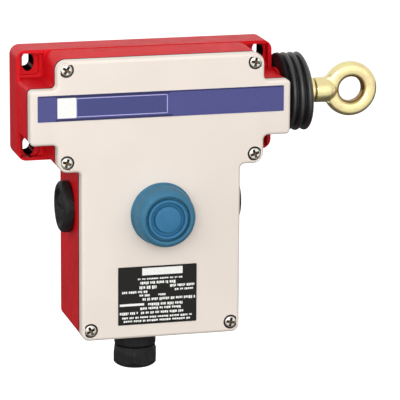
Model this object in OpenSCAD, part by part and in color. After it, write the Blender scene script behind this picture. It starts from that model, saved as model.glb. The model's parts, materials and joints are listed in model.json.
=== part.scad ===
// Rope pull switch with a latching head, a booted reset button and three cable entries.
// Millimetres. Origin at the centre of the four wall slots, on the back face.
// +X runs along the rope to the eye, +Y into the wall, +Z up; the cover faces -Y.

/* [Body] */
// Length of the crossbar
bar_w = 164; // [160:0.5:168]
// Height of the crossbar face
bar_h = 34.2; // [33:0.1:36]
// Width of the raised tabs above and below the crossbar
tab_w = 130.2; // [126:0.2:132]
// Height across both tabs
tab_h = 69.2; // [66:0.2:72]
// Width of the column that hangs under the crossbar
column_w = 100.7; // [98:0.1:104]
// Distance from the crossbar centre down to the bottom edge
column_drop = 142; // [138:1:150]
// Depth of the casting, from the wall to the cover joint
body_depth = 56.9; // [55:0.1:60]
// Thickness of the casting walls
wall = 3.5; // [3:0.1:4]
// Depth of the flange with the wall slots
flange_depth = 22; // [20:0.5:24]

/* [Cover] */
// Thickness of the front cover
cover_t = 4.5; // [4:0.1:6]
// Edge rounding of the front cover
cover_round = 2; // [1:0.1:2.4]
// Thickness of the gasket under the cover
gasket_t = 0.8; // [0.5:0.1:1.2]
// Diameter of the cover screw heads
screw_head_d = 8; // [7:0.1:8.4]

/* [Wall slots] */
// Slot spacing along the crossbar
slot_dx = 147.5; // [146:0.5:149]
// Slot spacing up the wall
slot_dz = 53.2; // [52:0.2:54]
// Slot width
slot_w = 7; // [5.5:0.1:7.4]
// Slot length, end to end
slot_l = 11; // [9:0.5:11]

/* [Rope head] */
// Depth of the rope axis in front of the wall
rope_y = 29; // [28:0.5:30]
// Height of the rope axis above the crossbar centre
rope_z = 3; // [2:0.5:3.5]
// Outside diameter of the bellows
bellows_d = 49.4; // [48:0.2:51]
// Number of folds in the bellows
folds = 3; // [3:1:4]
// Spacing of the folds
fold_pitch = 4.1; // [3.6:0.1:4.2]
// Position of the eye centre along the rope axis
eye_x = 130.5; // [128:0.5:134]
// Outside diameter of the eye
eye_d = 34.7; // [33:0.1:36]
// Thickness of the eye
eye_t = 9.9; // [9:0.1:11]
// Diameter of the hole in the eye
eye_hole_d = 15.8; // [15:0.2:16.4]

/* [Reset button] */
// Height of the button axis, counted down from the crossbar centre
button_drop = 63; // [61:0.5:65]
// Foot diameter of the boot
boot_d = 39.5; // [37:0.5:40]
// How far the boot stands out of the cover
boot_h = 17.5; // [16:0.5:18]
// Diameter of the push cap
cap_d = 24.7; // [23:0.1:25]

/* [Cable entries] */
// Depth of the side entries in front of the wall
entry_y = 26.5; // [25:0.5:28]
// Depth of the bottom entry in front of the wall
gland_y = 28; // [27:0.5:29]
// Sideways position of the bottom entry
gland_x = -8.5; // [-10:0.5:10]
// Bore of the entries
entry_d = 20.4; // [18:0.2:20.6]
// Head diameter of the blanking plugs
plug_d = 32.5; // [30:0.5:34]
// Size of the gland nut across its flats
gland_af = 26.6; // [25:0.1:28]

/* [Labels] */
// Height of the coloured band
band_h = 16.1; // [14:0.1:17]
// Width of the rating label
label_w = 50; // [46:1:54]
// Height of the rating label
label_h = 37; // [34:1:40]

/* [Hidden] */
$fn = 64;
cover_y = body_depth + gasket_t;
face_y = cover_y + cover_t;
xc = bar_w / 2;
zc = bar_h / 2;
xt = tab_w / 2;
zt = tab_h / 2;
xl = column_w / 2;
button_z = -button_drop;
entry_z = -button_drop - 1;
floor_t = 4;
// how much shorter the flange is at the rope end, and the radius of the neck that holds the bellows
flange_cut = 1;
neck_r = 15.4;
// how far the casting stands back from the edge of the cover
joint_step = 0.2;
screw_xz = [[-xt + 5.8, zt - 5.4], [xt - 5.8, zt - 5.4], [-xt + 5.8, -zt + 6.2],
    [xt - 5.8, -zt + 6.2], [-xl + 5.6, -column_drop + 6.6], [xl - 5.6, -column_drop + 6.6]];
// the pivot of the latch lever
pivot_y = 46;
pivot_z = -31;
// screws and terminals of the contact block
block_screw_x = [-49.8, -26];
block_screw_z = -23;
terminal_x = [-45, -41, -35.2, -31.4];

red = "#b0222c";
ivory = "#e8ddd0";
black = "#26262a";
zinc = "#cdb878";
steel = "#b4b6b8";

// ---------- helpers ----------

// an outline drawn in X and Z, thickened forwards from depth y0
module front(y0, h) {
    translate([0, -y0, 0]) rotate([90, 0, 0]) linear_extrude(h) children();
}

// a round bar or bore that runs forwards from depth y0 to depth y1
module along_y(x, z, y0, y1, r) {
    translate([x, -y0, z]) rotate([90, 0, 0]) cylinder(h = y1 - y0, r = r);
}

// a round bar or bore that runs along X at depth y and height z
module along_x(y, z, x0, x1, r) {
    translate([x0, -y, z]) rotate([0, 90, 0]) cylinder(h = x1 - x0, r = r);
}

// a turned part on an axis along X: profile points are [radius, x]
module turned_x(y, z, pts) {
    translate([0, -y, z]) rotate([0, 90, 0]) rotate_extrude() polygon(pts);
}

// a turned part on an axis along Y: profile points are [radius, depth]
module turned_y(x, z, pts) {
    translate([x, 0, z]) rotate([90, 0, 0]) rotate_extrude() polygon(pts);
}

// a rectangle between two corners with round corners
module plate2d(x0, z0, x1, z1, r) {
    translate([x0 + r, z0]) square([x1 - x0 - 2 * r, z1 - z0]);
    translate([x0, z0 + r]) square([x1 - x0, z1 - z0 - 2 * r]);
    for (x = [x0 + r, x1 - r], z = [z0 + r, z1 - r])
        translate([x, z]) circle(r);
}

// the web that rounds an inside corner; sx and sz point out of the corner
module web2d(x, z, sx, sz, r) {
    translate([x, z]) difference() {
        translate([sx > 0 ? -0.5 : -r, sz > 0 ? -0.5 : -r]) square(r + 0.5);
        translate([sx * r, sz * r]) circle(r);
    }
}

// the T outline of the casting, drawn in by d
module tee2d(d, rt, rc, rl, webs) {
    plate2d(-xc + d, -zc + d, xc - d, zc - d, rc);
    plate2d(-xt + d, -zt + d, xt - d, zt - d, rt);
    plate2d(-xl + d, -column_drop + d, xl - d, 0, rl);
    if (webs > 0) {
        for (sx = [-1, 1], sz = [-1, 1])
            web2d(sx * (xt - d), sz * (zc - d), sx, sz, webs);
        for (sx = [-1, 1])
            web2d(sx * (xl - d), -zt + d, sx, -1, webs);
    }
}

// the same outline as a list of corners, down the left side and up the right: [x, z, radius, 1
// outside / -1 inside]
tee = [[-xt, zt, 6.5, 1], [-xt, zc, 3, -1], [-xc, zc, 2.8, 1], [-xc, -zc, 2.8, 1],
    [-xt, -zc, 3, -1], [-xt, -zt, 6.5, 1], [-xl, -zt, 3, -1], [-xl, -column_drop, 5, 1],
    [xl, -column_drop, 5, 1], [xl, -zt, 3, -1], [xt, -zt, 6.5, 1], [xt, -zc, 3, -1],
    [xc, -zc, 2.8, 1], [xc, zc, 2.8, 1], [xt, zc, 3, -1], [xt, zt, 6.5, 1]];
function unit(v) = v / norm(v);
// one loop of points round the corners, drawn in by d, at depth y
function loop(c, d, y, n = 6) = [
    for (i = [0 : len(c) - 1])
        let (p = [c[i][0], c[i][1]],
            q = c[(i + len(c) - 1) % len(c)],
            s = c[(i + 1) % len(c)],
            a = unit([q[0], q[1]] - p),
            b = unit([s[0], s[1]] - p),
            m = p + c[i][2] * (a + b),
            r = c[i][2] - c[i][3] * d)
        for (k = [0 : n])
            let (t = 90 * k / n, v = m - r * (b * cos(t) + a * sin(t)))
                [v[0], -y, v[1]]
];
// level bands that close a loop of the T outline, each between points of its left side and their
// mirror images; m points a corner. A band next to a level step takes in the step's far points.
function tee_bands(q, m) = [
    for (i = [0 : (q - 1) / 2 - 1])
        let (c = floor(i / m), k = i % m)
            if (!(k == m - 1 && (c == 1 || c == 3 || c == 5)))
                k == 0 && c == 2 ? [i + 1, q - i - 1, q - i, q - i + 1, i - 1, i]
                : k == m - 2 && (c == 3 || c == 5)
                    ? [i, i + 1, i + 2, q - i - 2, q - i - 1, q - i]
                    : [i, i + 1, q - i - 1, q - i]
];
function turned(f) = [for (i = [len(f) : -1 : 1]) f[i % len(f)]];
// a closed skin over a stack of loops that all have the same number of points; caps are the faces
// that close its ends, one face over all points unless given
module skin(rings, caps = []) {
    n = len(rings[0]);
    m = len(rings);
    ends = len(caps) > 0 ? caps : [[for (i = [0 : n - 1]) i]];
    pts = [for (r = rings) each r];
    side = [for (j = [0 : m - 2], i = [0 : n - 1])
        let (k = (i + 1) % n)
            each [[j * n + i, j * n + k, (j + 1) * n + k],
                [j * n + i, (j + 1) * n + k, (j + 1) * n + i]]];
    polyhedron(pts, concat([for (f = ends) turned(f)], side,
        [for (f = ends) [for (i = f) (m - 1) * n + i]]));
}

// a coil of round wire on the Z axis; the first and last turns lie closed
module coil(r, wire, h, turns, per = 15, sides = 6) {
    n = round(turns * per);
    shut = 1.05 * wire;
    pitch = (h - wire - 2 * shut) / (turns - 2);
    function lift(t) = t < 1 ? shut * t : t > turns - 1
        ? shut + pitch * (turns - 2) + shut * (t - turns + 1) : shut + pitch * (t - 1);
    skin([for (i = [0 : n])
        let (t = turns * i / n, a = 360 * t, z = wire / 2 + lift(t))
            [for (k = [0 : sides - 1])
                let (b = 360 * k / sides, q = r + wire / 2 * cos(b))
                    [q * cos(a), q * sin(a), z + wire / 2 * sin(b)]]]);
}

// a pan head screw that runs back into the casting, with a cross recess
module pan_screw(x, z, y_seat, head_d, head_h, shank_r, length) {
    difference() {
        turned_y(x, z, [[0, y_seat - length], [shank_r, y_seat - length], [shank_r, y_seat],
            [head_d / 2, y_seat], [head_d / 2, y_seat + head_h * 0.55],
            [head_d * 0.41, y_seat + head_h * 0.88], [head_d * 0.28, y_seat + head_h],
            [0, y_seat + head_h]]);
        for (w = [[0.62, 0.13], [0.13, 0.62]])
            translate([x - w[0] * head_d / 2, -y_seat - head_h - 0.1, z - w[1] * head_d / 2])
                cube([w[0] * head_d, head_h * 0.55 + 0.1, w[1] * head_d]);
    }
}

// ---------- casting ----------

module flange_solid() {
    front(0, flange_depth) plate2d(-xc - 0.2, -zt - 0.2, xc - flange_cut, zt + 0.2, 6);
}

// the corner well in front of a wall slot, with the lower seat for the screw head
module corner_well(sx, sz) {
    x0 = xt - joint_step;
    z0 = zc - joint_step;
    x1 = xc - 2.2 - (sx > 0 ? flange_cut : 0);
    mirror([sx < 0 ? 1 : 0, 0, 0]) mirror([0, 0, sz < 0 ? 1 : 0]) {
        translate([x0, -flange_depth - 1, z0]) cube([x1 - x0, flange_depth - 17, zt - 2 - z0]);
        front(15, 6) plate2d(slot_dx / 2 - 6.6, slot_dz / 2 - 8, x1, zt - 2, 2.5);
        translate([slot_dx / 2, 0.5, slot_dz / 2]) rotate([90, 0, 0]) {
            for (s = [-1, 1])
                translate([0, s * (slot_l - slot_w) / 2, 0]) cylinder(h = 20, r = slot_w / 2);
            translate([-slot_w / 2, -(slot_l - slot_w) / 2, 0]) cube([slot_w, slot_l - slot_w, 20]);
        }
    }
}

// the outline of the hollow behind the cover, drawn in by d
module cavity2d(d) {
    plate2d(-xc + wall + d, -zc + wall + d, xc - 12 - d, zc - wall - d, 1.5);
    plate2d(-xt + wall + d, -zt + wall + d, xt - wall - d, zt - wall - d, 3);
    plate2d(-xl + wall + d, -column_drop + wall + d, xl - wall - d, 0, 2);
}

module housing() {
    color(red) difference() {
        union() {
            difference() {
                union() {
                    flange_solid();
                    front(0, body_depth) tee2d(joint_step, 6.3, 2.6, 4.8, 3.2);
                    // neck and collar that hold the bellows
                    along_x(rope_y, rope_z, xc - 1, xc + 4, neck_r);
                    along_x(rope_y, rope_z, xc + 2.9, xc + 5.6, 21.2);
                }
                front(floor_t, body_depth) cavity2d(0);
            }
            // bosses for the cover screws
            for (p = screw_xz)
                along_y(p[0], p[1], 2, body_depth, 4.9);
            // thickened walls at the three cable entries
            along_x(entry_y, entry_z, -xl + 1, -xl + 10, 14);
            along_x(entry_y, entry_z, xl - 10, xl - 1, 14);
            translate([gland_x, -gland_y, -column_drop + 1]) cylinder(h = 9, r = 14);
            // seats for the latch frame, the contact block and the earth screw
            for (x = [-15, 15])
                along_y(x, pivot_z, 2, 8, 4.5);
            for (x = block_screw_x)
                along_y(x, block_screw_z, 2, 12, 4.2);
            along_y(28, -118, 2, 12, 5);
            // guide wall for the tail of the pull rod
            translate([-66, -rope_y - 9, -zc + 2]) cube([8, rope_y + 9 - 2, bar_h - 4]);
            // stiffening ribs on the floor of the column
            for (x = [-18, 18])
                translate([x - 1.25, -7.5, -128]) cube([2.5, 5.5, 50]);
        }
        for (sx = [-1, 1], sz = [-1, 1])
            corner_well(sx, sz);
        for (p = screw_xz)
            along_y(p[0], p[1], body_depth - 16, body_depth + 1, 2);
        along_x(entry_y, entry_z, -xl - 5, -xl + 15, entry_d / 2);
        along_x(entry_y, entry_z, xl - 15, xl + 5, entry_d / 2);
        translate([gland_x, -gland_y, -column_drop - 5]) cylinder(h = 25, r = entry_d / 2);
        for (x = [-15, 15])
            along_y(x, pivot_z, 3, 9, 1.5);
        for (x = block_screw_x)
            along_y(x, block_screw_z, 3, 13, 1.5);
        along_y(28, -118, 3, 13, 2);
        // rod guide at the tail, bush seat at the head
        along_x(rope_y, rope_z, -70, -50, 4.05);
        along_x(rope_y, rope_z, xc - 13, xc + 7, 7.5);
    }
}

module cover_gasket() {
    color(black) front(body_depth, gasket_t) difference() {
        tee2d(0.9, 5.6, 1.9, 4.1, 3.9);
        difference() {
            cavity2d(0);
            for (p = screw_xz)
                translate([p[0], p[1]]) circle(4.6);
        }
        for (p = screw_xz)
            translate([p[0], p[1]]) circle(2.2);
    }
}

// ---------- cover and its trim ----------

// the rib behind the cover that drops inside the casting walls and round the screw bosses
module cover_rib() {
    front(cover_y - 3, 3) difference() {
        cavity2d(0.4);
        cavity2d(2);
        for (p = screw_xz)
            translate([p[0], p[1]]) circle(5.4);
    }
}

module front_cover() {
    r = cover_round;
    color(ivory) cover_rib();
    color(ivory) difference() {
        skin([
            for (a = [0 : 22.5 : 90]) loop(tee, r * (1 - sin(a)), face_y - r * (1 - cos(a))),
            loop(tee, 0, cover_y)
        ], tee_bands(len(tee) * 7 - 1, 7));
        for (p = screw_xz) {
            along_y(p[0], p[1], cover_y - 1, face_y + 1, 2.2);
            along_y(p[0], p[1], face_y - 2.4, face_y + 1, screw_head_d / 2 + 0.55);
        }
        along_y(0, button_z, cover_y - 1, face_y + 1, 11.2);
    }
}

module cover_screws() {
    color(steel) for (p = screw_xz)
        pan_screw(p[0], p[1], face_y - 2.4, screw_head_d, 2.9, 2, 15);
}

module blue_band() {
    color("#59597f") front(face_y, 0.35) plate2d(-xc + 4.6, -2.1, xc - 4.6, -2.1 + band_h, 0.6);
}

module rating_label() {
    color("#1a1816") front(face_y, 0.35)
        plate2d(-2.5 - label_w / 2, -96 - label_h, -2.5 + label_w / 2, -96, 0.6);
}

// ---------- cable entries ----------

// a blanking plug whose head lies on its seal at x = 0 and points to +X
module entry_plug() {
    r = plug_d / 2;
    color(black) rotate([0, 90, 0]) difference() {
        rotate_extrude() polygon([[0, -9], [entry_d / 2 - 1, -9], [entry_d / 2, -8],
            [entry_d / 2, 0], [r - 0.6, 0], [r, 0.6], [r, 4], [r - 0.7, 5.4], [r - 2.2, 6.1],
            [r - 4.6, 6.1], [r - 5.4, 4.2], [r - 8.2, 3.8], [r - 8.8, 5.1], [0, 5.3]]);
        translate([-r + 7, -1.3, 3.8]) cube([2 * r - 14, 2.6, 4]);
    }
}

module left_entry_plug() {
    translate([-xl - 0.6, -entry_y, entry_z]) mirror([1, 0, 0]) entry_plug();
}

module right_entry_plug() {
    translate([xl + 0.6, -entry_y, entry_z]) entry_plug();
}

module plug_seals() {
    color("#17171a") for (s = [-1, 1])
        difference() {
            translate([s > 0 ? 0 : -2 * xl - 0.6 + joint_step, 0, 0])
                along_x(entry_y, entry_z, xl - joint_step, xl + 0.6, 13.6);
            along_x(entry_y, entry_z, -xl - 2, xl + 2, entry_d / 2);
        }
}

gland_top = -column_drop + joint_step;
nut_top = -column_drop - 13.4;
nut_end = nut_top - 13;

module gland_washer() {
    color("#17171a") translate([gland_x, -gland_y, gland_top - 1]) difference() {
        cylinder(h = 1, r = 13);
        translate([0, 0, -1]) cylinder(h = 3, r = entry_d / 2);
    }
}

module gland_body() {
    z0 = gland_top - 1;
    color(black) translate([gland_x, -gland_y, 0]) rotate_extrude() polygon([[7, gland_top + 9],
        [entry_d / 2 - 0.8, gland_top + 9], [entry_d / 2, gland_top + 8.2], [entry_d / 2, z0],
        [gland_af / 2 - 0.9, z0], [gland_af / 2 - 0.2, z0 - 1.2], [gland_af / 2 - 0.2, nut_top + 1],
        [gland_af / 2 - 1, nut_top + 0.3], [10.2, nut_top + 0.3], [10.2, nut_top - 7.4],
        [7, nut_top - 7.4]]);
}

module gland_seal() {
    color("#202024") translate([gland_x, -gland_y, 0]) rotate_extrude() polygon([
        [5.6, nut_top - 1.4], [6.9, nut_top - 1.4], [6.9, nut_top - 7.5], [9.6, nut_top - 7.5],
        [9.6, nut_top - 9.4], [5.6, nut_top - 9.4]]);
}

// a hexagon with one corner towards the viewer's side, both ends turned to a cone
module gland_nut() {
    r = gland_af / sqrt(3);
    color(black) translate([gland_x, -gland_y, 0]) difference() {
        intersection() {
            translate([0, 0, nut_end]) rotate([0, 0, 255]) cylinder(h = 13, r = r, $fn = 6);
            rotate_extrude() polygon([[0, nut_top], [gland_af / 2 - 0.5, nut_top],
                [r + 0.1, nut_top - 2], [r + 0.1, nut_end + 4], [gland_af / 2 - 0.6, nut_end + 1],
                [gland_af / 2 - 2.2, nut_end], [0, nut_end]]);
        }
        translate([0, 0, nut_end + 3.6]) cylinder(h = 20, r = 10.3);
        translate([0, 0, nut_end - 1]) cylinder(h = 20, r = 7.2);
    }
}

// ---------- rope head ----------

module guide_bush() {
    color("#c9a24a") difference() {
        union() {
            along_x(rope_y, rope_z, xc - 16, xc - 12, 9);
            along_x(rope_y, rope_z, xc - 12.5, xc + 9, 7.5);
        }
        along_x(rope_y, rope_z, xc - 20, xc + 20, 4.05);
    }
}

bell_r = bellows_d / 2;
fold_x0 = xc + 6;
bell_end = fold_x0 + folds * fold_pitch;
// outside of the bellows: a smooth collar, then round folds with narrow grooves
bell_out = [[bell_r - 0.9, xc], [bell_r - 0.2, xc + 0.7], [bell_r - 0.1, fold_x0 - 1],
    [bell_r - 0.6, fold_x0 - 0.4],
    for (i = [0 : folds - 1], k = [0 : 8])
        let (a = 180 * k / 8)
            [bell_r - 2.6 + 2.6 * sqrt(sin(a)) + 0.001 * k, fold_x0 + fold_pitch * (i + 0.5 - 0.47 * cos(a))],
    [bell_r - 3.4, bell_end + 0.5], [bell_r - 7.5, bell_end + 1.5], [11.4, bell_end + 1.9],
    [9.6, bell_end + 2.4], [9.2, bell_end + 3.3], [8, bell_end + 3.6]];
// inside of the bellows, from the rod end back to the lip that lies round the neck
bell_in = [[8, bell_end + 0.9], [11, bell_end + 0.5], [bell_r - 8, bell_end + 0.1],
    [bell_r - 4.4, bell_end - 0.6], [bell_r - 4.4, xc + 5.8], [21.4, xc + 5.8], [21.4, xc + 2.7],
    [neck_r + 0.2, xc + 2.7], [neck_r + 0.2, xc]];

module bellows() {
    color("#1b1b1d") turned_x(rope_y, rope_z, concat(bell_out, bell_in));
}

module pull_rod() {
    color(steel) turned_x(rope_y, rope_z, [[0, -77], [3, -77], [4, -76], [4, 115], [3, 116], [0, 116]]);
}

module cam_sleeve() {
    color("#8f9296") turned_x(rope_y, rope_z, [[4, -56], [6.5, -56], [6.5, -52], [10, -38],
        [10, -17.6], [9.4, -17], [6.5, -17], [6.5, 3], [9.4, 3], [10, 3.6], [10, 7.4], [9.4, 8],
        [4, 8]]);
}

module rod_clip() {
    color("#55585c") difference() {
        along_x(rope_y, rope_z, -57.2, -56, 6.2);
        along_x(rope_y, rope_z, -58, -55, 4);
        translate([-58, -rope_y - 2.2, rope_z - 8]) cube([3, 4.4, 6]);
    }
}

module spring_washer() {
    color(steel) difference() {
        along_x(rope_y, rope_z, 8, 10, 9.8);
        along_x(rope_y, rope_z, 7, 11, 4);
    }
}

module main_spring() {
    color("#9a9da1") translate([10, -rope_y, rope_z]) rotate([0, 90, 0])
        coil(7.6, 2.4, xc - 16 - 10, 7.5);
}

module eye_ferrule() {
    color(zinc) turned_x(rope_y, rope_z, [[4, 100.5], [7.2, 100.5], [7.9, 101.2], [7.9, 105.6],
        [7.4, 106.2], [4, 106.2]]);
}

// section of the eye's ring, a rounded square between its bore and its rim
function ring_section(r0, r1, half) = [for (a = [0 : 15 : 345])
    let (c = cos(a), s = sin(a))
        [(r0 + r1) / 2 + (r1 - r0) / 2 * sign(c) * pow(abs(c), 0.75), half * sign(s) * pow(abs(s), 0.75)]];

// ring with a short land in its bore, a round shank and forged webs between them
module eye() {
    rc = eye_d / 2 - eye_t / 2;
    color(zinc) difference() {
        union() {
            translate([eye_x, -rope_y, rope_z]) rotate([90, 0, 0])
                rotate_extrude() polygon(ring_section(eye_hole_d / 2 - 0.3, eye_d / 2, eye_t / 2));
            turned_x(rope_y, rope_z, [[0, 106.6], [7.3, 106.6], [7.9, 107.2], [7.9, 113.5],
                [7.5, 116.3], [6.3, 119], [4.6, 121], [0, 121]]);
            translate([0, -rope_y, rope_z]) rotate([90, 0, 0])
                translate([0, 0, -3.6]) linear_extrude(7.2) difference() {
                    translate([112, -11.2]) square([10, 22.4]);
                    for (s = [-1, 1])
                        translate([111.7, s * 15]) circle(7.7);
                    translate([eye_x, 0]) circle(rc);
                }
        }
        translate([eye_x, -rope_y, rope_z]) rotate([90, 0, 0])
            translate([0, 0, -20]) cylinder(h = 40, r = eye_hole_d / 2);
        along_x(rope_y, rope_z, 100, 116, 4);
    }
}

// ---------- latch ----------

module latch_frame() {
    color("#a9acb0") difference() {
        union() {
            front(8, 1.6) plate2d(-20, pivot_z - 7, 20, pivot_z + 7, 2);
            for (x = [-9.5, 8])
                translate([x, -pivot_y, pivot_z]) rotate([90, 0, 90]) linear_extrude(1.5) {
                    circle(5.5);
                    translate([0, -5.5]) square([pivot_y - 8, 11]);
                }
        }
        along_x(pivot_y, pivot_z, -20, 20, 2);
        for (x = [-15, 15])
            along_y(x, pivot_z, 7, 12, 1.6);
    }
}

module latch_frame_screws() {
    color(steel) for (x = [-15, 15])
        pan_screw(x, pivot_z, 9.6, 5.6, 2, 1.5, 5.6);
}

module latch_pin() {
    color(steel) difference() {
        along_x(pivot_y, pivot_z, -11, 11, 2);
        for (x = [-10.6, 10])
            difference() {
                along_x(pivot_y, pivot_z, x, x + 0.6, 3);
                along_x(pivot_y, pivot_z, x - 1, x + 1, 1.6);
            }
    }
}

// flat lever: tooth at the rod, hub on the pin, pad behind the reset plunger
module latch_lever() {
    color("#7d8186") difference() {
        union() {
            translate([-2, 0, 0]) rotate([90, 0, 90]) linear_extrude(4) polygon([
                [-49.5, -2], [-pivot_y - 4.2, pivot_z], [-50, -58], [-50, button_z - 3.5],
                [-45.4, button_z - 3.5], [-44.6, -60], [-pivot_y + 3.6, pivot_z],
                [-42.4, -1.4], [-36.2, 0.6], [-36.2, 5.4], [-42.4, 6.6], [-43.5, 9], [-48, 9]]);
            along_x(pivot_y, pivot_z, -2, 2, 5.6);
        }
        along_x(pivot_y, pivot_z, -10, 10, 2.05);
    }
}

module latch_spring() {
    color("#9a9da1") translate([2.4, -pivot_y, pivot_z]) rotate([0, 90, 0])
        coil(3.3, 0.9, 5.6, 4, per = 12, sides = 5);
}

// ---------- contacts ----------

module contact_block() {
    color("#303034") difference() {
        union() {
            translate([-53.8, -44, -30.2]) cube([31.8, 32, 16.4]);
            // barriers between the terminals
            for (x = [-53.8, -38.8, -23.4])
                translate([x, -47, -30.2]) cube([1.4, 4, 16.4]);
        }
        for (x = block_screw_x) {
            along_y(x, block_screw_z, 11, 50, 1.6);
            along_y(x, block_screw_z, 38, 50, 3);
        }
        translate([-38, -rope_y, -25]) cylinder(h = 20, r = 3.05);
        // a thread and a wire mouth for each terminal
        for (x = terminal_x) {
            along_y(x, -21, 41.6, 45, 1.1);
            translate([x - 1.4, -41, -32]) cube([2.8, 4.4, 6]);
        }
    }
}

module block_screws() {
    color(steel) for (x = block_screw_x)
        pan_screw(x, block_screw_z, 38, 5.4, 2, 1.5, 34);
}

module terminal_screws() {
    color("#c9b060") for (x = terminal_x)
        pan_screw(x, -21, 44, 3.4, 1.4, 1.1, 2.4);
}

module contact_plunger() {
    color("#e4e0d4") translate([-38, -rope_y, 0]) {
        translate([0, 0, -10.3]) sphere(3);
        translate([0, 0, -21]) cylinder(h = 10.7, r = 3);
    }
}

module earth_screw() {
    color("#c9b060") pan_screw(28, -118, 12, 8, 2.4, 2, 8);
}

// ---------- reset button ----------

fy = face_y;
// end wall of the barrel, behind the cover
barrel_end = 52.5;

module reset_body() {
    color("#2a2a2e") turned_y(0, button_z, [[4.05, barrel_end], [11, barrel_end], [11, fy],
        [15.4, fy], [15.4, fy + 2.6], [14.8, fy + 3.2], [10.6, fy + 3.2], [10.6, fy + 7],
        [8.2, fy + 7], [8.2, barrel_end + 2], [4.05, barrel_end + 2]]);
}

module reset_nut() {
    color("#8f9296") translate([0, -cover_y + 4.4, button_z]) rotate([90, 0, 0]) difference() {
        cylinder(h = 4.4, r = 15.6, $fn = 6);
        translate([0, 0, -1]) cylinder(h = 7, r = 11);
    }
}

br = boot_d / 2;
cr = cap_d / 2;

module reset_boot() {
    h = fy + boot_h;
    color("#4487ad") turned_y(0, button_z, [[15.4, fy], [br - 0.5, fy], [br, fy + 0.6],
        [br, fy + 1.9], [br - 0.5, fy + 4.5], [br - 1.1, h - 7.5], [br - 1.9, h - 3.3],
        [br - 2.8, h - 1.2], [br - 3.9, h - 0.2], [br - 4.5, h], [br - 4.9, h - 0.5],
        [br - 5, h - 3], [cr, h - 3], [cr, h - 4.3], [br - 4.6, h - 4.3],
        [br - 3.8, h - 5.1], [br - 2.6, fy + 4.4], [br - 2.6, fy + 3.2], [15.4, fy + 3.2]]);
}

module reset_cap() {
    h = fy + boot_h;
    color("#3f7fa8") turned_y(0, button_z, [[4, h - 13.5], [8, h - 13.5], [8, h - 4.6],
        [cr, h - 4.6], [cr, h - 0.7], [cr - 0.6, h], [cr - 1.3, h], [cr - 1.9, h - 0.5],
        [cr - 2.1, h - 1.6], [cr - 3.6, h - 1.6], [cr - 3.9, h - 0.1], [cr - 4.4, h + 0.3],
        [0, h + 0.5], [0, h - 6], [4, h - 6]]);
}

module reset_plunger() {
    color(steel) turned_y(0, button_z, [[0, 50.4], [3.4, 50.4], [4, 51], [4, fy + boot_h - 6],
        [0, fy + boot_h - 6]]);
}

module reset_spring() {
    y0 = barrel_end + 2;
    color("#9a9da1") translate([0, -y0, button_z]) rotate([90, 0, 0])
        coil(6.1, 1.1, fy + boot_h - 13.5 - y0, 4.5, per = 12, sides = 5);
}

housing();
cover_gasket();
front_cover();
cover_screws();
blue_band();
rating_label();
left_entry_plug();
right_entry_plug();
plug_seals();
gland_body();
gland_washer();
gland_seal();
gland_nut();
guide_bush();
bellows();
pull_rod();
cam_sleeve();
rod_clip();
spring_washer();
main_spring();
eye_ferrule();
eye();
latch_frame();
latch_frame_screws();
latch_pin();
latch_lever();
latch_spring();
contact_block();
block_screws();
terminal_screws();
contact_plunger();
earth_screw();
reset_body();
reset_nut();
reset_boot();
reset_cap();
reset_plunger();
reset_spring();
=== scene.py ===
"""Rope pull switch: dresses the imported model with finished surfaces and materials, and sets its stage. Shapes and
patterns are worked out in millimetres and written in metres; lamps and camera are placed in metres."""

import json
import math

import bmesh
import bpy
import numpy as np
from bpy.props import FloatProperty, FloatVectorProperty, IntProperty, PointerProperty
from bpy.types import Operator, PropertyGroup
from mathutils import Matrix, Vector
from mathutils.geometry import delaunay_2d_cdt


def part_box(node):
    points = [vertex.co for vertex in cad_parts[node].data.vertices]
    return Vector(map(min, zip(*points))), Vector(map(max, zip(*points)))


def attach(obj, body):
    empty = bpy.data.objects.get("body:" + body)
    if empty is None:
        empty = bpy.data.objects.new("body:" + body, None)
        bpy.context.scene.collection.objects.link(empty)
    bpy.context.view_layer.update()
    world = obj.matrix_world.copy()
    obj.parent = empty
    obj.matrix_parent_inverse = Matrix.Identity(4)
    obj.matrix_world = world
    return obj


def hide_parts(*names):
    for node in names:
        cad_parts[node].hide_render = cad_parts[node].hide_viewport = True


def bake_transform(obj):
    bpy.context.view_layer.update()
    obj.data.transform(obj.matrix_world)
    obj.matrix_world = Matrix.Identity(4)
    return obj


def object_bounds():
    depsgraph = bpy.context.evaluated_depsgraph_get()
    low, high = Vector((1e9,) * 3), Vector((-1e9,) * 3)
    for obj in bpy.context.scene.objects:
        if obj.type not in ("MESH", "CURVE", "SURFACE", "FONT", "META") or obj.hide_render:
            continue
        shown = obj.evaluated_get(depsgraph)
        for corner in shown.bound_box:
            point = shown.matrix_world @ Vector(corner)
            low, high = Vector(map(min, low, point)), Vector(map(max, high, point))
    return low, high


bl_info = {
    "name": "Rope Pull Switch",
    "version": (1, 0, 0),
    "blender": (4, 5, 0),
    "location": "View3D > Sidebar > Switch",
    "description": "Builds the finished surfaces, materials and stage of a rope pull switch",
    "category": "Add Mesh",
}

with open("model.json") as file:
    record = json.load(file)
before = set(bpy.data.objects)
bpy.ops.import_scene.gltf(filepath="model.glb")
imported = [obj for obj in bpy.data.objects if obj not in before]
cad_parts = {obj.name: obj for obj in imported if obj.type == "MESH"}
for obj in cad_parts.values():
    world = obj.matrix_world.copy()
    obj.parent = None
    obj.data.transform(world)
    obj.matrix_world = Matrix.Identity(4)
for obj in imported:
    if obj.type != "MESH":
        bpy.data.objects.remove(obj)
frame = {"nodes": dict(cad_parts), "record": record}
CAD_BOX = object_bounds()
MM = 0.001


def box(node):
    """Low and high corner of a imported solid, in millimetres."""
    return np.array(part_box(node)) / MM


def metres(*point):
    """A point in millimetres, in metres."""
    return tuple(float(v) * MM for v in point)


def mount(name):
    """A mount's place in millimetres and its sizes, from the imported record."""
    found = next(m for m in frame["record"]["mounts"] if m["name"] == name)
    return np.array(found["pos_m"]) / MM, found["dims"]


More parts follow.
